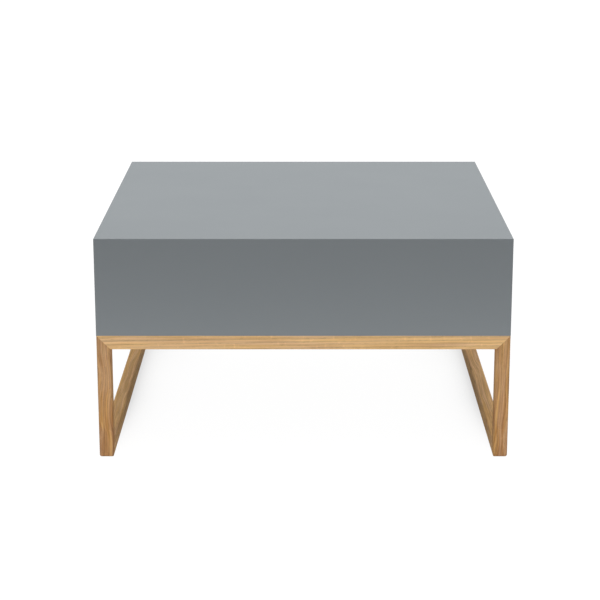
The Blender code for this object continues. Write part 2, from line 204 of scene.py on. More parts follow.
def woven(name, rings, finishes, inside=None, **marks):
    """A closed mesh object from rings of points, with its faces outwards.

    A face whose points are all inside takes the second finish. Each mark is a number or a vector
    for each point, and becomes an attribute of the mesh.
    """
    first, quads, triangles = joined(rings)
    points = rings.reshape(-1, 3)
    mesh = bpy.data.meshes.new(name)
    mesh.from_pydata(points[first].tolist(), [], quads.tolist() + triangles.tolist())
    for finish in finishes:
        mesh.materials.append(finish)
    if inside is not None:
        held = inside.reshape(-1)[first]
        second = np.concatenate((held[quads].all(1), held[triangles].all(1)))
        mesh.polygons.foreach_set("material_index", second.astype(np.int32))
    for mark, values in marks.items():
        kind, field = ("FLOAT", "value") if values.ndim == 2 else ("FLOAT_VECTOR", "vector")
        kept = values.reshape(len(points), -1)[first].astype(np.float32)
        mesh.attributes.new(mark, kind, "POINT").data.foreach_set(field, kept.ravel())
    mesh.shade_smooth()
    mesh.set_sharp_from_angle(angle=sharp_angle)
    piece = bpy.data.objects.new(name, mesh)
    bpy.context.scene.collection.objects.link(piece)
    piece.modifiers.new("even_faces", "WEIGHTED_NORMAL").keep_sharp = True
    return piece


def stand_for(piece, node):
    """A finished piece takes the place of its solid."""
    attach(piece, "root")
    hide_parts(node)


# Finishes

class Nodes:
    """A shader in the making. Each call adds a node and gives back its output."""

    def __init__(self, owner):
        owner.use_nodes = True
        self.tree = owner.node_tree

    def put(self, socket, value):
        """A value goes on the socket, and an output is linked to it."""
        if isinstance(value, bpy.types.NodeSocket):
            self.tree.links.new(value, socket)
        elif socket.type == "RGBA":
            socket.default_value = (*value, 1)
        else:
            socket.default_value = value

    def add(self, kind, inputs, out=0, **settings):
        """A node of a kind, with its inputs by name or number and its settings by name."""
        node = self.tree.nodes.new("ShaderNode" + kind)
        for setting, value in settings.items():
            setattr(node, setting, value)
        for socket, value in inputs.items():
            self.put(node.inputs[socket], value)
        return node.outputs[out]

    def mark(self, name, out="Fac"):
        """An attribute of the mesh: a number, or a vector where the output is Vector."""
        return self.add("Attribute", {}, out, attribute_name=name)

    def place(self):
        """Where a point is, in the table's frame."""
        return self.add("TexCoord", {}, "Object")

    def maths(self, operation, first, second=0.0):
        """One number worked out from one or two."""
        return self.add("Math", {0: first, 1: second}, operation=operation)

    def scaled(self, value, factor, start):
        """A number times a factor, added to a start."""
        return self.add("Math", {0: value, 1: factor, 2: start}, operation="MULTIPLY_ADD")

    def product(self, *factors):
        """Numbers times one another."""
        return reduce(partial(self.maths, "MULTIPLY"), factors)

    def vector(self, operation, first, second):
        """One vector worked out from two, each way by itself."""
        return self.add("VectorMath", {0: first, 1: second}, operation=operation)

    def length(self, vector):
        """How long a vector is."""
        return self.add("VectorMath", {0: vector}, 1, operation="LENGTH")

    def way(self, vector, number):
        """A vector's number for one way, counted from nought."""
        return self.add("SeparateXYZ", {0: vector}, number)

    def noise(self, coordinates, scale, detail=2.0, out="Fac"):
        """Smooth noise from 0 to 1, whose scale is a number or one a way."""
        if isinstance(scale, tuple):
            coordinates, scale = self.vector("MULTIPLY", coordinates, scale), 1.0
        return self.add("TexNoise", {"Vector": coordinates, "Scale": scale, "Detail": detail}, out)

    def ramp(self, value, low, high, first=0.0, last=1.0):
        """A value from low to high becomes one from first to last, smoothly, and stays there."""
        inputs = {"Value": value, 1: low, 2: high, 3: first, 4: last}
        return self.add("MapRange", inputs, interpolation_type="SMOOTHSTEP")

    def blend(self, share, first, second, kind="MIX"):
        """Two colours mixed: the first where the share is nought, the second where it is one."""
        inputs = {"Factor": share, 6: first, 7: second}
        return self.add("Mix", inputs, 2, data_type="RGBA", blend_type=kind)

    def shade(self, colour, amount):
        """A colour or a vector times a number."""
        return self.add("VectorMath", {0: colour, "Scale": amount}, operation="SCALE")


class Finish(Nodes):
    """A material in the making, on a Principled shader."""

    def __init__(self, name, **steady):
        self.material = bpy.data.materials.new(name)
        super().__init__(self.material)
        self.shader = self.tree.nodes["Principled BSDF"]
        self.give(**steady)

    def give(self, **values):
        """Set or link sockets of the shader, named in lower case with underscores."""
        for name, value in values.items():
            socket = self.shader.inputs[name.replace("_", " ").title().replace("Ior", "IOR")]
            self.put(socket, value)

    def relief(self, height, depth):
        """Bumps of a height from 0 to 1, times a depth in metres."""
        normal = self.add("Bump", {"Height": height, "Distance": depth, "Strength": 1.0})
        self.give(normal=normal)


@cache
def lacquer():
    """Sprayed and rubbed matt lacquer: a fine ripple, an uneven sheen, thin paint on the edges."""
    looks = bpy.context.scene.coffee_table_case
    finish = Finish("matt_grey_lacquer", specular_ior_level=looks.gloss)
    place = finish.place()
    patchy = finish.ramp(finish.noise(place, 60.0), 0.5, 0.75, 0.0, 0.3)
    thin = finish.product(finish.mark("wear"), patchy)
    even = finish.ramp(finish.noise(place, 3.0), 0.2, 0.8, 0.993, 1.007)
    colour = finish.blend(thin, finish.shade(looks.lacquer, even), looks.thin_lacquer)
    matt, rubbed = looks.roughness + looks.rubbing, looks.roughness - looks.rubbing
    roughness = finish.ramp(finish.noise(place, 7.0), 0.25, 0.75, rubbed, matt)
    finish.give(base_color=colour, roughness=roughness)
    finish.relief(finish.noise(place, 520.0, 3.0), looks.ripple)
    return finish.material


Timber = namedtuple("Timber", "pale amber spacing ring_depth pore_depth fleck_depth roughness")

# Noise in timber: how many cells a metre has across the grain both ways, and along it
sway_scale = (18.0, 18.0, 8.0)
wander_scale = (14.0, 14.0, 1.3)
streak_scale = (190.0, 190.0, 8.0)
warmth_scale = (110.0, 110.0, 5.0)
fibre_scale = (800.0, 800.0, 11.0)
pore_scale = (2400.0, 2400.0, 120.0)
fleck_scale = (70.0, 1500.0, 130.0)

# How far the grain sways across itself, and how far the distance from the pith wanders
sway_reach = (0.03, 0.03, 0)
wander_reach = 0.008

# How many rings the noise in their spacing moves one, and how many rings one cell of it takes up
season_shift = 2.2
season_scale = 0.45

# Early wood fades out up to the first share of a ring and comes back from the second
early_end, late_end = 0.55, 0.85

# Edges have been darkened and smoothed by hands
edge_darkening, edge_polish = 0.14, 0.08

# The tints between which the warmth of timber turns, and the depth of its relief
yellow, rose = (1.05, 1.02, 0.80), (0.97, 0.98, 1.07)
timber_relief = 0.00008


def grow(finish, timber, tone, figure, look):
    """Timber from coordinates whose third way follows the grain, with the pith at nought.

    The figure sways the grain across itself by a slow noise. A ring's number is the distance from
    the pith, which wanders slowly, over the ring spacing, and its fraction tells early wood from
    late. Streaks, fibres, pores and flecks are noise that is drawn out along the grain, and flecks
    are drawn out from the pith as well. Another noise turns the colour from yellow to rose, more so
    in deep timber.
    """
    sway = finish.noise(timber, sway_scale, 1.0, "Color")
    sway = finish.vector("MULTIPLY", finish.vector("SUBTRACT", sway, (0.5, 0.5, 0.5)), sway_reach)
    timber = finish.vector("ADD", timber, finish.shade(sway, figure))
    reach = finish.length(finish.vector("MULTIPLY", timber, (1, 1, 0)))
    reach = finish.scaled(finish.noise(timber, wander_scale), wander_reach, reach)
    season = finish.maths("DIVIDE", reach, look.spacing)
    inputs = {"W": season, "Scale": season_scale, "Detail": 1.0}
    uneven = finish.add("TexNoise", inputs, noise_dimensions="1D")
    ring = finish.maths("FRACT", finish.scaled(uneven, season_shift, season))
    fading, coming = finish.ramp(ring, 0.0, early_end, 1.0, 0.0), finish.ramp(ring, late_end, 1.0)
    early = finish.maths("MAXIMUM", fading, coming)
    fibre = finish.noise(timber, fibre_scale)
    pore = finish.ramp(finish.noise(timber, pore_scale, 1.0), 0.56, 0.68)
    pore = finish.product(pore, finish.scaled(early, 0.8, 0.2))
    fleck = finish.ramp(finish.noise(timber, fleck_scale, 1.0), 0.6, 0.75)
    wear = finish.mark("wear")

    streak = finish.ramp(finish.noise(timber, streak_scale, 3.0), 0.25, 0.75, -0.22, 0.22)
    # The tone, which on the oak holds painted shade, is the share between pale and amber
    share = finish.add("Clamp", {0: finish.maths("ADD", tone, streak)})
    spread = finish.scaled(tone, 0.3, 0.25)
    low, high = finish.maths("SUBTRACT", 0.5, spread), finish.maths("ADD", 0.5, spread)
    warmth = finish.ramp(finish.noise(timber, warmth_scale, 3.0), 0.35, 0.65, low, high)
    tint = finish.blend(warmth, yellow, rose)
    colour = finish.blend(1.0, finish.blend(share, look.pale, look.amber), tint, "MULTIPLY")
    depth = finish.product(
        finish.scaled(early, -look.ring_depth, 1.0),
        finish.ramp(fibre, 0.2, 0.8, 0.93, 1.07),
        finish.scaled(pore, -look.pore_depth, 1.0),
        finish.scaled(fleck, look.fleck_depth, 1.0),
        finish.scaled(wear, -edge_darkening, 1.0),
    )
    polish = finish.scaled(wear, -edge_polish, look.roughness)
    roughness = finish.scaled(pore, 0.15, polish)
    finish.give(base_color=finish.shade(colour, depth), roughness=roughness)
    height = finish.scaled(early, -0.2, finish.scaled(fibre, 0.25, 1.0))
    finish.relief(finish.scaled(pore, -0.8, height), timber_relief)
    return finish.material


@cache
def oak():
    """Clear finished oak, whose grain and tone, with painted shade, come from marks on each bar."""
    looks = bpy.context.scene.coffee_table_oak
    look = Timber(*(getattr(looks, name) for name in Timber._fields))
    finish = Finish("clear_finished_oak", specular_ior_level=looks.gloss)
    tone, figure = finish.mark("tone"), finish.mark("figure")
    return grow(finish, finish.mark("timber", "Vector"), tone, figure, look)


SOFTWOOD = Timber((0.76, 0.58, 0.36), (0.68, 0.45, 0.23), 0.0042, 0.20, 0.05, 0.0, 0.72)
BEECH = Timber((0.62, 0.42, 0.25), (0.55, 0.33, 0.18), 0.0025, 0.10, 0.10, 0.25, 0.65)
FIBREBOARD = (0.43, 0.29, 0.17)
BIRCH = (0.70, 0.54, 0.34)
BRASS = (0.76, 0.56, 0.25)

# Where the middle of a sawn piece is from the pith, and the tone and the figure of its timber
sawn_middle, sawn_tone, sawn_figure = (0.05, 0.03, 0), 0.4, 0.3

# Plywood: plies in a metre, and how near its glue line a point of a ply looks dark
plies_a_metre = 1000.0
glue_share = 0.08


def own_place(finish, node):
    """Coordinates from a solid's middle: along its second longest way, its thinnest, its longest.

    The ways are the singular vectors of its points less their middle, longest first.
    """
    points = np.array([vertex.co for vertex in node.data.vertices])
    middle = (points.min(0) + points.max(0)) / 2
    longest, wide, _ = np.linalg.svd(points - middle, full_matrices=False)[2]
    ways = np.column_stack((wide, np.cross(longest, wide), longest))
    turn = Matrix(ways.tolist()).to_euler()
    inputs = {0: finish.place(), 1: tuple(middle), 2: tuple(turn)}
    return finish.add("Mapping", inputs, vector_type="TEXTURE")


def sawn(look, kind, node):
    """Timber whose grain follows the longest way of the solid, cut beside the pith."""
    finish = Finish(kind + "_" + node.name)
    timber = finish.vector("ADD", own_place(finish, node), sawn_middle)
    return grow(finish, timber, sawn_tone, sawn_figure, look)


softwood = partial(sawn, SOFTWOOD, "softwood")
beech = partial(sawn, BEECH, "beech")


@cache
def bare_board():
    """Board of pressed fibres: a speckle in a slow cloud."""
    finish = Finish("bare_fibreboard")
    place = finish.place()
    speckle = finish.noise(place, 1500.0, 3.0)
    cloud = finish.ramp(finish.noise(place, 18.0), 0.3, 0.7, 0.95, 1.05)
    amount = finish.product(finish.ramp(speckle, 0.3, 0.7, 0.82, 1.12), cloud)
    roughness = finish.ramp(speckle, 0.3, 0.7, 0.92, 0.78)
    finish.give(base_color=finish.shade(FIBREBOARD, amount), roughness=roughness)
    finish.relief(speckle, 0.00005)
    return finish.material


def plywood(node):
    """Plies through the thickness, with a dark line of glue between them."""
    finish = Finish("birch_plywood_" + node.name)
    place = own_place(finish, node)
    ply = finish.maths("FRACT", finish.product(finish.way(place, 1), plies_a_metre))
    inputs = {0: ply, 1: 0.0, 2: glue_share}
    glue = finish.add("Math", inputs, operation="COMPARE")
    fibre = finish.noise(place, (900.0, 900.0, 30.0))
    bright = finish.ramp(fibre, 0.25, 0.75, 0.9, 1.08)
    amount = finish.product(finish.scaled(glue, -0.35, 1.0), bright)
    roughness = finish.ramp(fibre, 0.3, 0.7, 0.78, 0.68)
    finish.give(base_color=finish.shade(BIRCH, amount), roughness=roughness)
    finish.relief(fibre, 0.00004)
    return finish.material


def metal(name, colour, roughness):
    """Metal with a cloudy film and fine turning marks."""
    finish = Finish(name, metallic=1.0)
    place = finish.place()
    cloud = finish.ramp(finish.noise(place, 160.0, 3.0), 0.3, 0.7, 0.9, 1.06)
    marks = finish.noise(place, (900.0, 900.0, 5200.0))
    uneven = finish.ramp(marks, 0.3, 0.7, roughness - 0.06, roughness + 0.08)
    finish.give(base_color=finish.shade(colour, cloud), roughness=uneven)
    finish.relief(marks, 0.000008)
    return finish.material


@cache
def zinc():
    """The plate on the bolts."""
    looks = bpy.context.scene.coffee_table_fixings
    return metal("zinc_plate", looks.zinc, looks.zinc_roughness)


@cache
def brass():
    """The threaded inserts, as they come off the lathe."""
    return metal("turned_brass", BRASS, 0.3)


@cache
def nylon():
    """Moulded nylon, a little clear, with scuffs from the floor."""
    looks = bpy.context.scene.coffee_table_fixings
    finish = Finish("moulded_nylon", subsurface_weight=0.08, subsurface_scale=0.002)
    scuff = finish.noise(finish.place(), (300.0, 900.0, 300.0), 4.0)
    worn = finish.ramp(scuff, 0.5, 0.7)
    colour = finish.shade(looks.nylon, finish.scaled(worn, -0.12, 1.0))
    finish.give(base_color=colour, roughness=finish.scaled(worn, 0.2, 0.4))
    finish.relief(scuff, 0.00001)
    return finish.material


# Case

Line = namedtuple("Line", "node origin first second along length")

# Which of its two ways a cut stands back with
BOTH = (1, 1)
FIRST = (1, 0)
SECOND = (0, 1)


def place_on(line, rings):
    """Points (first, second, station) put where their line and its two ways across say.

    A place is the line's origin plus each of the three numbers times its way.
    """
    return line.origin + rings @ np.array((line.first, line.second, line.along))


def case_lines():
    """Each board's line: its first way is into the board, and its second down or across it."""
    wide, deep = 2 * half_width, 2 * half_depth
    top = np.array((half_width, half_depth, table_height))
    return {
        "front": Line("front_panel", top * (-1, -1, 1), Y, -Z, X, wide),
        "back": Line("back_panel", top * (-1, 1, 1), -Y, -Z, X, wide),
        "left": Line("left_panel", top * (-1, -1, 1), X, -Z, Y, deep),
        "right": Line("right_panel", top * (1, -1, 1), -X, -Z, Y, deep),
        "top": Line("top_panel", top * (-1, -1, 1), -Z, Y, X, wide),
    }


def board_outline(name):
    """A board's section: (depth into it, way down or across it).

    The top is mitred at both ends, and a side at its upper end. A side's lower end has a rebate
    for the bottom panel.
    """
    inner = board_thickness
    if name == "top":
        return ((0, 0), (inner, inner), (inner, 2 * half_depth - inner), (0, 2 * half_depth))
    lip = half_width - bottom_panel_reach - fit_gap
    edge = table_height - case_bottom
    step = table_height - bottom_panel_top - fit_gap
    return ((0, 0), (inner, inner), (inner, step), (lip, step), (lip, edge), (0, edge))


def case_board(name, line, looks):
    """One board of the case, mitred where it meets its neighbours, with its outer edges eased.

    Its ends close at a point a quarter of the way through the board and half way across it.
    """
    outline = board_outline(name)
    loop = eased_loop(outline, looks.arris)
    middle = (board_thickness / 4, outline[-1][1] / 2)
    rings = carried(loop, middle, line.length, FIRST, FIRST, looks.arris)
    square = place_on(line, rings)
    eased = rounded(square, (-half_width, -half_depth, -ENDLESS), cad_bounds[1], looks.arris)
    wear = wear_of(square, eased, looks.arris)
    inside = rings[..., 0] > looks.arris
    finishes = (lacquer(), bare_board())
    piece = woven("lacquered_" + name + "_board", eased, finishes, inside, wear=wear)
    stand_for(piece, line.node)


# Base

Bar = namedtuple("Bar", "line start end open_top")


def oak_bars():
    """Every bar of the base: its line from an outer corner, and its cuts.

    The first and second ways of a line lead inward from the outer faces. A cut stands back with
    both of them in the three way mitres under the case, and with one of them in the feet.
    """
    wide, deep = 2 * half_width, 2 * half_depth
    height = seat - foot_bottom
    head = np.array((half_width, half_depth, seat))
    foot = np.array((half_width, half_depth, foot_bottom))
    return (
        Bar(Line("front_rail", head * (-1, -1, 1), -Z, Y, X, wide), BOTH, BOTH, True),
        Bar(Line("back_rail", head * (-1, 1, 1), -Z, -Y, X, wide), BOTH, BOTH, True),
        Bar(Line("left_rail", head * (-1, -1, 1), -Z, X, Y, deep), BOTH, BOTH, True),
        Bar(Line("right_rail", head * (1, -1, 1), -Z, -X, Y, deep), BOTH, BOTH, True),
        Bar(Line("leg_front_left", head * (-1, -1, 1), X, Y, -Z, height), BOTH, SECOND, False),
        Bar(Line("leg_front_right", head * (1, -1, 1), -X, Y, -Z, height), BOTH, SECOND, False),
        Bar(Line("leg_back_left", head * (-1, 1, 1), X, -Y, -Z, height), BOTH, SECOND, False),
        Bar(Line("leg_back_right", head, -X, -Y, -Z, height), BOTH, SECOND, False),
        Bar(Line("left_runner", foot * (-1, -1, 1), Z, X, Y, deep), FIRST, FIRST, False),
        Bar(Line("right_runner", foot * (1, -1, 1), Z, -X, Y, deep), FIRST, FIRST, False),
    )


# How far apart along the grain the timber of one bar is from the next
timber_apart = 1.37

# How amber each bar is at its start and its end, where the pith of its tree is across it there, and
# how much its grain sways. The tone holds painted shade: the legs are deeper than the bars lying
# across, in place of the sheen that grain lying across catches from above, and deeper towards the
# foot, in place of the weaker light there
Grain = namedtuple("Grain", "tones piths figure")
GRAIN = {
    "front_rail": Grain((0.08, 0.04), ((-0.120, 0.030), (-0.129, 0.036)), 0.1),
    "back_rail": Grain((0.14, 0.08), ((0.110, -0.060), (0.102, -0.066)), 0.2),
    "left_rail": Grain((0.10, 0.18), ((0.115, 0.066), (0.122, 0.058)), 0.3),
    "right_rail": Grain((0.16, 0.10), ((-0.090, -0.070), (-0.084, -0.076)), 0.2),
    "leg_front_left": Grain((0.62, 0.72), ((0.074, -0.050), (0.084, -0.044)), 1.0),
    "leg_front_right": Grain((0.62, 0.76), ((-0.052, -0.046), (-0.044, -0.052)), 1.0),
    "leg_back_left": Grain((0.50, 0.58), ((-0.070, -0.040), (-0.062, -0.046)), 0.6),
    "leg_back_right": Grain((0.48, 0.60), ((0.090, 0.050), (0.084, 0.058)), 0.5),
    "left_runner": Grain((0.22, 0.16), ((0.100, -0.080), (0.108, -0.072)), 0.35),
    "right_runner": Grain((0.22, 0.18), ((0.095, 0.090), (0.086, 0.098)), 0.35),
}


def oak_bar(bar, number, looks):
    """One bar, with its inner edges eased in its own section and its outer ones as the whole base.

    The timber's coordinates are the bar's own, less the place of the pith, which runs straight from
    its place at the start of the bar to its place at the end, as the tone does, with its painted
    shade.
    """
    line, grain = bar.line, GRAIN[bar.line.node]
    square = eased_loop(((0, 0), (bar_side, 0), (bar_side, bar_side), (0, bar_side)), looks.arris)
    loop = rounded(square, (-ENDLESS if bar.open_top else 0, 0), (bar_side, bar_side), looks.arris)
    middle = (bar_side / 2, bar_side / 2)
    rings = carried(loop, middle, line.length, bar.start, bar.end, looks.arris)
    placed = place_on(line, rings)
    low, high = (-half_width, -half_depth, foot_bottom), (half_width, half_depth, ENDLESS)
    eased = rounded(placed, low, high, looks.arris)
    wear = wear_of(square, loop, looks.arris) + wear_of(placed, eased, looks.arris)
    along = rings[..., 2:] / line.length
    # The tone, with the painted shade of the legs, runs straight from the start to the end
    tone = ((1 - along) * grain.tones[0] + along * grain.tones[1])[..., 0]
    pith = (1 - along) * grain.piths[0] + along * grain.piths[1]
    marks = {
        "wear": np.minimum(wear, 1),
        "tone": tone,
        "figure": np.full(tone.shape, grain.figure),
        "timber": np.dstack((rings[..., :2] - pith, rings[..., 2] + number * timber_apart)),
    }
    piece = woven("oak_" + line.node, eased, (oak(),), **marks)
    stand_for(piece, line.node)


# Fixings

def middle_of(node, height):
    """The middle of a solid across, at a height."""
    low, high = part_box(node)
    return np.array(((low.x + high.x) / 2, (low.y + high.y) / 2, height))


def hexagon(corner_radius):
    """The radius of a hexagon each way round: its flat's distance over the cosine from the flat."""
    flat_distance = corner_radius * np.cos(pi / 6)
    return flat_distance / np.cos((around + pi / 6) % (pi / 3) - pi / 6)


def thread(bottom, top, looks):
    """Radii and heights of a rolled thread, whose radius falls and rises once a turn.

    The wave is a cosine of the height in turns less the turn round the bolt, and it fades out
    within one turn of each end.
    """
    rows = int((top - bottom) / looks.thread_pitch * thread_rows_per_turn)
    heights = np.linspace(bottom, top, rows)[:, None]
    wave = (1 - np.cos(2 * pi * heights / looks.thread_pitch - around)) / 2
    fade = np.clip(np.minimum(heights - bottom, top - heights) / looks.thread_pitch, 0, 1)
    return list(zip(looks.bolt_radius - looks.thread_depth * wave * fade, heights[:, 0]))


# The dome of a bolt's head, as a share of the flange's radius, and the angle at which it starts
dome_share, dome_start = 0.8, 0.46

# Shares of the socket's radius: the depth of the cone in its floor, the floor and the flat face
# round its mouth
cone_share, floor_share, face_share = 0.3, 0.98, 1.1

# How far the edges of a bolt are cut back: round the socket's floor and at its mouth, on the outer
# edge of the flange, inward and along, on its bearing face, and in the corner with the shank
floor_break, mouth_break = 0.0001, 0.0005
flange_break_in, flange_break_along = 0.0004, 0.0003
bearing_break, fillet = 0.0002, 0.0004

# Where a bolt's thread ends, from the flange and from the tip, and how far the tip is drawn in
thread_from_flange, thread_from_tip = 0.004, 0.0008
tip_draw = 0.0009


def case_bolt(corner, looks):
    """A flanged button head bolt: a domed head with a hexagon socket, a flange and a thread.

    The dome's radius and height are the sine and the cosine of an angle, each times its reach.
    """
    node = "case_bolt_" + corner
    low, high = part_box(node)
    flange = (high.x - low.x) / 2
    bearing, tip = low.z + looks.head_height, high.z
    flange_top = bearing - looks.flange_thickness
    turns = np.linspace(dome_start, pi / 2, dome_rows)
    dome_radii = dome_share * flange * np.sin(turns)
    dome = list(zip(dome_radii, flange_top - (flange_top - low.z) * np.cos(turns)))
    socket, floor = hexagon(looks.socket_radius), low.z + looks.socket_depth
    outline = [
        (0, floor + looks.socket_radius * cone_share),
        (socket * floor_share, floor),
        (socket, floor - floor_break),
        (socket, low.z + mouth_break),
        (looks.socket_radius * face_share, dome[0][1]),
        *dome,
        (flange - flange_break_in, flange_top),
        (flange, flange_top + flange_break_along),
        (flange, bearing - bearing_break),
        (flange - bearing_break, bearing),
        (looks.bolt_radius + fillet, bearing),
        (looks.bolt_radius, bearing + fillet),
        *thread(bearing + thread_from_flange, tip - thread_from_tip, looks),
        (looks.bolt_radius - tip_draw, tip),
        (0, tip),
    ]
    piece = woven("zinc_" + node, middle_of(node, 0) + turned(outline), (zinc(),))
    stand_for(piece, node)


# The depth of the hollow in a glide's sole, and the shares of its radius where its slope lies
sole_hollow = 0.0002
hollow_share, sole_share = 0.55, 0.62

# How far the disc's upper edge is cut back, and how far the stem's tip is drawn in
disc_break, stem_draw = 0.0003, 0.0012

# How many barbs a glide's stem has, how deep one is, how soon it is at its widest and how long it
# is, and where the first starts from the disc and the last from the tip
barbs, barb_depth = 4, 0.0005
barb_rise, barb_length = 0.0004, 0.0022
barb_from_disc, barb_from_tip = 0.002, 0.003


def floor_glide(corner, looks):
    """A glide with a rounded rim, a slightly hollow sole and a barbed stem.

    The rim is a quarter of a circle: its middle plus its radius times a cosine and a sine.
    """
    node = "floor_glide_" + corner
    low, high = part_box(node)
    rim, tip, edge, disc = (high.x - low.x) / 2, high.z - low.z, looks.glide_edge, looks.glide_top
    turns = np.linspace(-pi / 2, 0, rim_rows)
    rim_round = zip(rim - edge + edge * np.cos(turns), edge + edge * np.sin(turns))
    stem, neck = looks.stem_radius, looks.stem_radius - barb_depth
    starts = np.linspace(disc + barb_from_disc, tip - barb_from_tip, barbs)
    barb_rows = [
        row
        for start in starts
        for row in ((neck, start), (stem, start + barb_rise), (neck, start + barb_length))
    ]
    outline = [
        (0, sole_hollow),
        (rim * hollow_share, sole_hollow),
        (rim * sole_share, 0),
        *rim_round,
        (rim, disc - disc_break),
        (rim - disc_break, disc),
        (stem, disc),
        (neck, disc + barb_depth),
        *barb_rows,
        (stem - stem_draw, tip),
        (0, tip),
    ]
    piece = woven("nylon_" + node, middle_of(node, low.z) + turned(outline), (nylon(),))
    stand_for(piece, node)


# Pieces that keep their shape

# The start of each node's name, what makes its finish, and whether the finish follows the solid
INNER_FINISHES = (
    ("bottom_panel", lacquer, False),
    ("width_rib", bare_board, False),
    ("depth_rib", bare_board, False),
    ("corner_block", softwood, True),
    ("corner_brace", softwood, True),
    ("top_spline", plywood, True),
    ("corner_spline", plywood, True),
    ("cross_dowel", beech, True),
    ("loop_dowel", beech, True),
    ("foot_tenon", beech, True),
    ("threaded_insert", brass, False),
)

# How far softwood's edges are cut back, and how near its points are joined first
broken_edge = 0.0008
merge_distance = 0.00001


def break_edges(node):
    """The sharp edges of a solid are cut back a little, once its points are joined."""
    node.modifiers.new("merge_points", "WELD").merge_threshold = merge_distance
    arris = node.modifiers.new("broken_edges", "BEVEL")
    arris.width = broken_edge
    arris.segments = 2
    arris.limit_method = "ANGLE"
    arris.harden_normals = True


def finish_inner(name, node):
    """A solid that keeps its shape gets the finish of its kind, and softwood broken edges too."""
    for start, make, follows in INNER_FINISHES:
        if name.startswith(start):
            slot = node.material_slots[0]
            slot.link = "OBJECT"
            slot.material = make(node) if follows else make()
            if make is softwood:
                break_edges(node)


# Studio

Softbox = namedtuple("Softbox", "name size place turn")
OVERHEAD = Softbox("overhead_softbox", (3.2, 3.2), (0, 0.4, 3.0), (0, 0, 0))
FRONT = Softbox("front_strip", (2.6, 0.08), (0, -0.70, 0.06), (pi / 2, 0, 0))
WHITE = (1.0, 1.0, 1.0)

# How many rays look for a runner from a point of the floor
shade_samples = 12


def background_rays(nodes):
    """One for the rays that should see a white background, nought for those that carry light."""
    kinds = ("Is Camera Ray", "Is Glossy Ray", "Is Transmission Ray")
    rays = [nodes.add("LightPath", {}, kind) for kind in kinds]
    return reduce(partial(nodes.maths, "MAXIMUM"), rays)


def painted_runner_shade(finish, looks):
    """How deep the painted shadow between the runners is: more towards the back of the table.

    It is one less the share of open air close round a point, times a share that grows from nought
    at the front to one at the middle.
    """
    place = finish.place()
    inputs = {"Distance": looks.contact_reach}
    air = finish.add("AmbientOcclusion", inputs, "AO", samples=shade_samples)
    across = finish.maths("ABSOLUTE", finish.way(place, 0))
    between = finish.maths("LESS_THAN", across, half_width - bar_side / 2)
    back = finish.ramp(finish.way(place, 1), -half_depth, 0.0)
    return finish.product(finish.maths("SUBTRACT", 1.0, air), between, back)


def studio_floor(looks):
    """A pale floor that lights the table from below, shows white and keeps the table's shadow.

    Its white share grows to the whole away from the table, its white is darkened by a painted
    shadow between the runners, and it is clear from below.
    """
    mesh = bpy.data.meshes.new("studio_floor")
    corners = np.array(((-1, -1, 0), (1, -1, 0), (1, 1, 0), (-1, 1, 0))) * looks.floor_reach
    mesh.from_pydata(corners.tolist(), [], [(0, 1, 2, 3)])
    finish = Finish("studio_floor")
    away = finish.length(finish.place())
    near, far = looks.shadow_reach, 2 * looks.shadow_reach
    open_share = finish.ramp(away, near, far, looks.floor_white, 1.0)
    seen = finish.product(background_rays(finish), open_share)
    # The white is darkened by the painted shadow between the runners
    glow = finish.scaled(painted_runner_shade(finish, looks), -looks.contact_shade, 1.0)
    inputs = {"Color": WHITE, "Strength": finish.product(glow, looks.floor_glow)}
    white = finish.add("Emission", inputs)
    lit = finish.add("BsdfDiffuse", {"Color": looks.floor})
    shown = finish.add("MixShader", {0: seen, 1: lit, 2: white})
    below = finish.add("NewGeometry", {}, "Backfacing")
    clear = finish.add("BsdfTransparent", {})
    both = finish.add("MixShader", {0: below, 1: shown, 2: clear})
    finish.put(finish.tree.nodes["Material Output"].inputs["Surface"], both)
    mesh.materials.append(finish.material)
    floor = bpy.data.objects.new("studio_floor", mesh)
    bpy.context.scene.collection.objects.link(floor)


def studio_world(looks):
    """A pale light from all round, stronger from above, with a background that shows white.

    Its strength is the ambient light times a number that grows with the sine of the height over the
    horizon, and never less than nought.
    """
    world = bpy.data.worlds.new("studio")
    nodes = Nodes(world)
    height = nodes.way(nodes.add("TexCoord", {}, "Generated"), 2)
    slope = looks.ambient * (looks.zenith - looks.horizon)
    light = nodes.maths("MAXIMUM", nodes.scaled(height, slope, looks.ambient * looks.horizon), 0.0)
    background = nodes.tree.nodes["Background"]
    nodes.put(background.inputs["Color"], WHITE)
    strength = nodes.ramp(background_rays(nodes), 0.0, 1.0, light, 1.0)
    nodes.put(background.inputs["Strength"], strength)
    bpy.context.scene.world = world


def softbox_lamp(softbox, energy):
    """A lamp with a flat face of a width and a height, which the camera doesn't see."""
    light = bpy.data.lights.new(softbox.name, "AREA")
    light.shape = "RECTANGLE"
    light.size, light.size_y = softbox.size
    light.energy = energy
    lamp = bpy.data.objects.new(softbox.name, light)
    lamp.location = softbox.place
    lamp.rotation_euler = softbox.turn
    lamp.visible_camera = False
    bpy.context.scene.collection.objects.link(lamp)


def studio_camera(looks):
    """A long lens in front of the table, looking a little down at it."""
    camera = bpy.data.cameras.new("studio_camera")
    camera.sensor_width = 36
    camera.lens = looks.lens
    camera.shift_x = looks.shift
    eye = bpy.data.objects.new("studio_camera", camera)
    eye.location = (0, -looks.camera_distance, looks.camera_height)
    eye.rotation_euler = (pi / 2 - looks.camera_dip, 0, 0)
    bpy.context.scene.collection.objects.link(eye)
    bpy.context.scene.camera = eye


# Settings

def a_number(name, description, default, **kind):
    """A setting that is any number."""
    return FloatProperty(name=name, description=description, default=default, **kind)


def a_length(name, description, default):
    """A setting in metres."""
    return a_number(name, description, default, min=0, precision=5, unit="LENGTH")


def a_share(name, description, default):
    """A setting from nought to one."""
    return a_number(name, description, default, min=0, max=1, subtype="FACTOR")


def a_colour(name, description, default):
    """A setting that is a colour, in linear light."""
    kind = {"min": 0, "max": 1, "size": 3, "subtype": "COLOR"}
    return FloatVectorProperty(name=name, description=description, default=default, **kind)


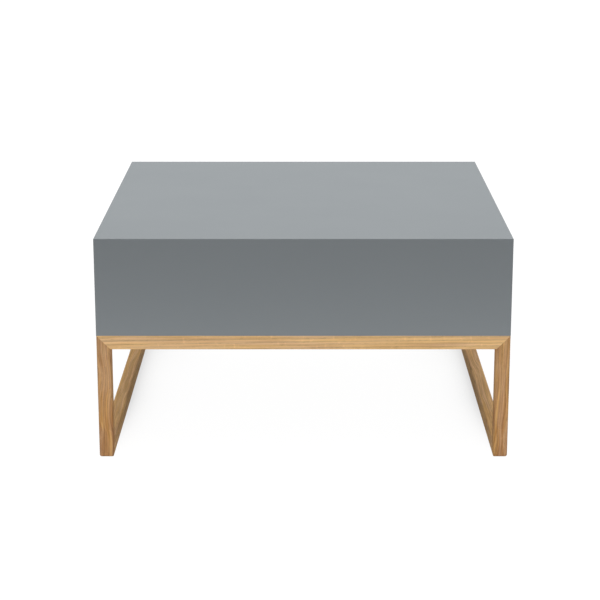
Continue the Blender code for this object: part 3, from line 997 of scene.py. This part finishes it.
class CoffeeTableCase(bpy.types.PropertyGroup):
    """The lacquered boards"""

    arris: a_length("Arris", "Radius of the case's outer edges", 0.0011)
    lacquer: a_colour("Lacquer", "Colour of the sprayed lacquer", (0.235, 0.258, 0.272))
    thin_lacquer: a_colour("Thin lacquer", "Colour on a thin edge", (0.40, 0.41, 0.41))
    roughness: a_share("Roughness", "How matt the lacquer is", 0.55)
    rubbing: a_share("Rubbing", "How much more or less matt rubbing left it", 0.015)
    gloss: a_share("Gloss", "How strongly the lacquer reflects", 0.35)
    ripple: a_length("Ripple", "Depth of the ripple that spraying leaves", 0.00002)


class CoffeeTableOak(bpy.types.PropertyGroup):
    """The oak bars"""

    arris: a_length("Arris", "Radius of the bars' edges", 0.0040)
    pale: a_colour("Pale", "Colour of the palest oak", (0.885, 0.580, 0.310))
    amber: a_colour("Amber", "Colour of the deepest oak", (0.39, 0.180, 0.066))
    spacing: a_length("Ring spacing", "Distance between two growth rings", 0.0040)
    ring_depth: a_share("Rings", "How much darker early wood is", 0.21)
    pore_depth: a_share("Pores", "How much darker a pore is", 0.35)
    fleck_depth: a_share("Flecks", "How much paler a ray is", 0.10)
    roughness: a_share("Roughness", "How matt the clear finish is", 0.70)
    gloss: a_share("Gloss", "How strongly the clear finish reflects", 0.03)


class CoffeeTableFixings(bpy.types.PropertyGroup):
    """The bolts and the glides"""

    bolt_radius: a_length("Bolt radius", "Radius over the thread", 0.0040)
    thread_pitch: a_length("Thread pitch", "From one turn of the thread to the next", 0.00125)
    thread_depth: a_length("Thread depth", "Depth of the thread", 0.00060)
    head_height: a_length("Head height", "Height of the bolt's head with its flange", 0.0044)
    flange_thickness: a_length("Flange thickness", "Thickness of the bolt's flange", 0.0011)
    socket_radius: a_length("Socket radius", "Radius to the socket's corners", 0.0029)
    socket_depth: a_length("Socket depth", "Depth of the hexagon socket", 0.0026)
    zinc: a_colour("Zinc", "Colour of the zinc plate", (0.60, 0.61, 0.62))
    zinc_roughness: a_share("Zinc roughness", "How matt the zinc plate is", 0.34)
    glide_edge: a_length("Glide edge", "Radius of a glide's lower edge", 0.0006)
    glide_top: a_length("Glide top", "Height of a glide's disc", 0.0025)
    stem_radius: a_length("Stem radius", "Radius of a glide's stem over its barbs", 0.0030)
    nylon: a_colour("Nylon", "Colour of the glides", (0.78, 0.77, 0.74))


class CoffeeTableStudio(bpy.types.PropertyGroup):
    """The camera, the light and the floor"""

    camera_distance: a_length("Camera distance", "From the middle of the table", 3.7224)
    camera_height: a_length("Camera height", "From the floor", 1.2082)
    camera_dip: a_number("Camera dip", "How far it looks down", radians(14.97), subtype="ANGLE")
    lens: a_number("Lens", "Focal length", 107.6, unit="CAMERA")
    shift: a_number("Shift", "Shift of the lens to the right", -0.00567)
    ambient: a_number("Ambient", "Strength of the light from all round", 0.465)
    horizon: a_number("Horizon", "Share of the ambient light at the horizon", 0.4)
    zenith: a_number("Zenith", "Share of the ambient light overhead", 1.6)
    overhead: a_number("Overhead", "Power of the overhead softbox", 57.5, unit="POWER")
    front: a_number("Front", "Power of the low strip in front", 1.6, unit="POWER")
    floor: a_colour("Floor", "Colour of the floor in the light it sends back", (0.7, 0.7, 0.7))
    floor_white: a_share("Floor white", "Share of plain white in the floor that is seen", 0.90)
    floor_reach: a_length("Floor reach", "From the middle of the floor to its sides", 20.0)
    shadow_reach: a_length("Shadow reach", "How far off the table shades the floor", 0.9)
    contact_reach: a_length("Contact reach", "How far the floor looks for a runner", 0.23)
    contact_shade: a_share("Contact shade", "How dark the runners' shade is", 0.52)
    floor_glow: a_number("Floor glow", "Strength of the floor's white", 1.09)


# Steps

class COFFEE_TABLE_OT_case_boards(bpy.types.Operator):
    """Put five lacquered boards round the case, mitred without a seam"""

    bl_idname = "coffee_table.case_boards"
    bl_label = "Case Boards"

    def execute(self, context):
        for name, line in case_lines().items():
            case_board(name, line, context.scene.coffee_table_case)
        return {"FINISHED"}


class COFFEE_TABLE_OT_oak_bars(bpy.types.Operator):
    """Put ten oak bars in the base, with closed mitres"""

    bl_idname = "coffee_table.oak_bars"
    bl_label = "Oak Bars"

    def execute(self, context):
        for number, bar in enumerate(oak_bars()):
            oak_bar(bar, number, context.scene.coffee_table_oak)
        return {"FINISHED"}


class COFFEE_TABLE_OT_inner_pieces(bpy.types.Operator):
    """Finish the panel, ribs, blocks, braces, splines, dowels, tenons and inserts"""

    bl_idname = "coffee_table.inner_pieces"
    bl_label = "Inner Pieces"

    def execute(self, context):
        for name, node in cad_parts.items():
            finish_inner(name, node)
        return {"FINISHED"}


class COFFEE_TABLE_OT_case_bolts(bpy.types.Operator):
    """Put in the bolts that hold the case on its base"""

    bl_idname = "coffee_table.case_bolts"
    bl_label = "Case Bolts"

    def execute(self, context):
        for corner in CORNERS:
            case_bolt(corner, context.scene.coffee_table_fixings)
        return {"FINISHED"}


class COFFEE_TABLE_OT_floor_glides(bpy.types.Operator):
    """Put the glides under the runners"""

    bl_idname = "coffee_table.floor_glides"
    bl_label = "Floor Glides"

    def execute(self, context):
        for corner in CORNERS:
            floor_glide(corner, context.scene.coffee_table_fixings)
        return {"FINISHED"}


class COFFEE_TABLE_OT_studio(bpy.types.Operator):
    """Set up the floor, the light and the camera"""

    bl_idname = "coffee_table.studio"
    bl_label = "Studio"

    def execute(self, context):
        looks = context.scene.coffee_table_studio
        context.scene.view_settings.view_transform = "Standard"
        studio_floor(looks)
        studio_world(looks)
        softbox_lamp(OVERHEAD, looks.overhead)
        softbox_lamp(FRONT, looks.front)
        studio_camera(looks)
        return {"FINISHED"}


STEPS = (
    COFFEE_TABLE_OT_case_boards,
    COFFEE_TABLE_OT_oak_bars,
    COFFEE_TABLE_OT_inner_pieces,
    COFFEE_TABLE_OT_case_bolts,
    COFFEE_TABLE_OT_floor_glides,
    COFFEE_TABLE_OT_studio,
)
SETTINGS = {
    "coffee_table_case": CoffeeTableCase,
    "coffee_table_oak": CoffeeTableOak,
    "coffee_table_fixings": CoffeeTableFixings,
    "coffee_table_studio": CoffeeTableStudio,
}


class VIEW3D_PT_coffee_table(bpy.types.Panel):
    """Sizes, colours and steps of the coffee table"""

    bl_label = "Coffee Table"
    bl_space_type = "VIEW_3D"
    bl_region_type = "UI"
    bl_category = "Coffee Table"

    def draw(self, context):
        for name, group in SETTINGS.items():
            column = self.layout.box().column()
            for setting in group.__annotations__:
                column.prop(getattr(context.scene, name), setting)
        for step in STEPS:
            self.layout.operator(step.bl_idname)


CLASSES = (*SETTINGS.values(), *STEPS, VIEW3D_PT_coffee_table)


def register():
    """Make the settings, the steps and the panel known, and keep the settings on the scene."""
    for kind in CLASSES:
        bpy.utils.register_class(kind)
    for name, group in SETTINGS.items():
        setattr(bpy.types.Scene, name, PointerProperty(type=group))


def unregister():
    """Take them away again, in the other order."""
    for name in SETTINGS:
        delattr(bpy.types.Scene, name)
    for kind in reversed(CLASSES):
        bpy.utils.unregister_class(kind)


def main():
    """Take every step in order."""
    register()
    for step in STEPS:
        getattr(bpy.ops.coffee_table, step.bl_idname.split(".")[1])()


if __name__ == "__main__":
    main()
